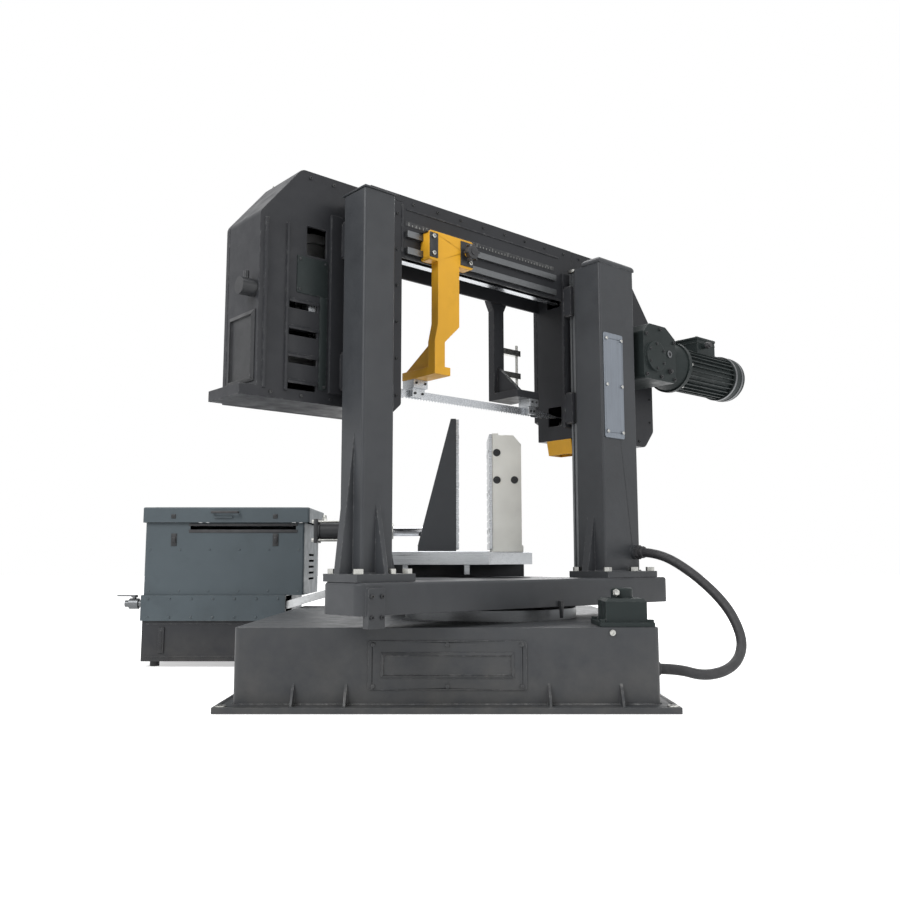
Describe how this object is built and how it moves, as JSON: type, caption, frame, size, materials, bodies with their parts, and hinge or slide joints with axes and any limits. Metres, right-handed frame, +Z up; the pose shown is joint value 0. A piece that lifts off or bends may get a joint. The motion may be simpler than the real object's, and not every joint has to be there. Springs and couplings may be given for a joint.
{
  "type": "twin column band saw",
  "caption": "Mitre-cutting twin column metal band saw: a swivelling cross beam carries columns that guide a bow with band wheels and blade above a hydraulic vise.",
  "frame": {"origin": "mitre swivel axis at floor level", "axes": "+Z up, X along the vise's clamping direction to the right as seen from the columns, +Y towards the vise; the saw head is swung 41 degrees about +Z in the rest pose"},
  "size_m": [3.5571, 2.3657, 2.1895],
  "materials": {
    "machine_grey": "satin",
    "bow_grey": "satin",
    "drive_grey": "satin",
    "unit_grey": "satin",
    "tank_dark": "satin",
    "guard_yellow": "satin",
    "machined_steel": "ground",
    "oiled_steel": "oiled",
    "jaw_beige": "satin",
    "cover_steel": "brushed",
    "galvanised": "galvanised",
    "blade_steel": "bright",
    "zinc_fastener": "zinc plated",
    "cylinder_black": "satin",
    "chrome_rod": "polished",
    "cast_wheel": "turned",
    "black_rubber": "matte",
    "brush_wire": "wire"
  },
  "bodies": {
    "base": {"base_body": "machine_grey", "levelling_screws": "zinc_fastener", "base_cover": "machine_grey", "slew_ring_outer": "oiled_steel", "bed_pedestal": "machine_grey", "vise_bed": "machined_steel", "fixed_jaw": "jaw_beige", "fixed_jaw_plate": "machined_steel", "vise_cylinder": "cylinder_black", "coolant_tank": "tank_dark", "tank_brackets": "tank_dark", "mitre_stop": "drive_grey", "tank_step": "unit_grey", "unit_cabinet": "unit_grey", "hydraulic_reservoir": "unit_grey", "pump_motor": "drive_grey", "drain_valve": "zinc_fastener", "chip_chute": "galvanised", "swivel_conduit": "black_rubber"},
    "moving_jaw": {"moving_jaw": "machine_grey", "moving_jaw_plate": "machined_steel", "vise_rod": "chrome_rod"},
    "unit_lid": {"unit_lid": "unit_grey"},
    "drain_lever": {"drain_lever": "zinc_fastener"},
    "swivel": {"swivel_frame": "machine_grey", "slew_ring_inner": "oiled_steel", "left_column": "machine_grey", "right_column": "machine_grey", "column_cover": "cover_steel", "left_rail": "oiled_steel", "right_rails": "oiled_steel", "column_bolts": "zinc_fastener", "lift_cylinder": "cylinder_black"},
    "bow": {"lift_rod": "chrome_rod", "left_carriage": "bow_grey", "right_carriage": "bow_grey", "left_housing": "bow_grey", "right_housing": "bow_grey", "bow_spine": "bow_grey", "tension_cylinder": "cylinder_black", "band_blade": "blade_steel", "guide_rails": "oiled_steel", "fixed_guide_arm": "bow_grey", "fixed_guide_block": "machined_steel", "coolant_pipe": "zinc_fastener", "chip_deflector": "guard_yellow", "gearbox": "drive_grey", "drive_motor": "drive_grey", "motor_fan_cover": "drive_grey", "left_door_hinge": "zinc_fastener", "right_door_hinge": "zinc_fastener"},
    "idler_slide": {"idler_slide": "machined_steel"},
    "idler_wheel": {"idler_wheel": "cast_wheel"},
    "drive": {"drive_wheel": "cast_wheel", "drive_shaft": "machined_steel"},
    "moving_guide": {"moving_guide_arm": "guard_yellow", "moving_guide_block": "machined_steel"},
    "chip_brush": {"chip_brush": "brush_wire"},
    "left_door": {"left_door": "bow_grey"},
    "right_door": {"right_door": "bow_grey"}
  },
  "joints": [
    {"name": "mitre_swivel", "type": "hinge", "parent": "base", "child": "swivel", "pos_m": [0, 0, 0.4], "axis": [0, 0, 1], "range_deg": [-41, 4], "deforming": ["swivel_conduit"]},
    {"name": "bow_lift", "type": "slide", "parent": "swivel", "child": "bow", "axis": [0, 0, 1], "range_m": [-0.68, 0]},
    {"name": "idler_tension", "type": "slide", "parent": "bow", "child": "idler_slide", "axis": [0.7547, 0.6561, 0], "range_m": [0, 0.02]},
    {"name": "idler_spin", "type": "hinge", "parent": "idler_slide", "child": "idler_wheel", "pos_m": [-0.74716, -0.6495, 1.62], "axis": [-0.6561, 0.7547, 0], "continuous": true},
    {"name": "drive_spin", "type": "hinge", "parent": "bow", "child": "drive", "pos_m": [0.60377, 0.52485, 1.62], "axis": [-0.6561, 0.7547, 0], "continuous": true},
    {"name": "brush_spin", "type": "hinge", "parent": "bow", "child": "chip_brush", "pos_m": [0.42264, 0.36739, 1.264], "axis": [-0.6561, 0.7547, 0], "continuous": true},
    {"name": "guide_arm_slide", "type": "slide", "parent": "bow", "child": "moving_guide", "axis": [0.7547, 0.6561, 0], "range_m": [-0.04, 0.33]},
    {"name": "vise_clamp", "type": "slide", "parent": "base", "child": "moving_jaw", "axis": [1, 0, 0], "range_m": [-0.11, 0.145]},
    {"name": "left_door_hinge", "type": "hinge", "parent": "bow", "child": "left_door", "pos_m": [-0.83064, -0.54584, 2.15], "axis": [0.7547, 0.6561, 0], "range_deg": [0, 100]},
    {"name": "right_door_hinge", "type": "hinge", "parent": "bow", "child": "right_door", "pos_m": [0.51651, 0.62522, 2.18], "axis": [0.7547, 0.6561, 0], "range_deg": [0, 100]},
    {"name": "unit_lid_hinge", "type": "hinge", "parent": "base", "child": "unit_lid", "pos_m": [-1.45, 1.332, 0.8], "axis": [-1, 0, 0], "range_deg": [0, 95]},
    {"name": "drain_lever_turn", "type": "hinge", "parent": "base", "child": "drain_lever", "pos_m": [-1.96, 0.815, 0.38], "axis": [0, 0, 1], "range_deg": [0, 90]}
  ],
  "couplings": [
    {"joint": "idler_spin", "follows": "drive_spin", "ratio": 1},
    {"joint": "brush_spin", "follows": "drive_spin", "ratio": -4}
  ]
}
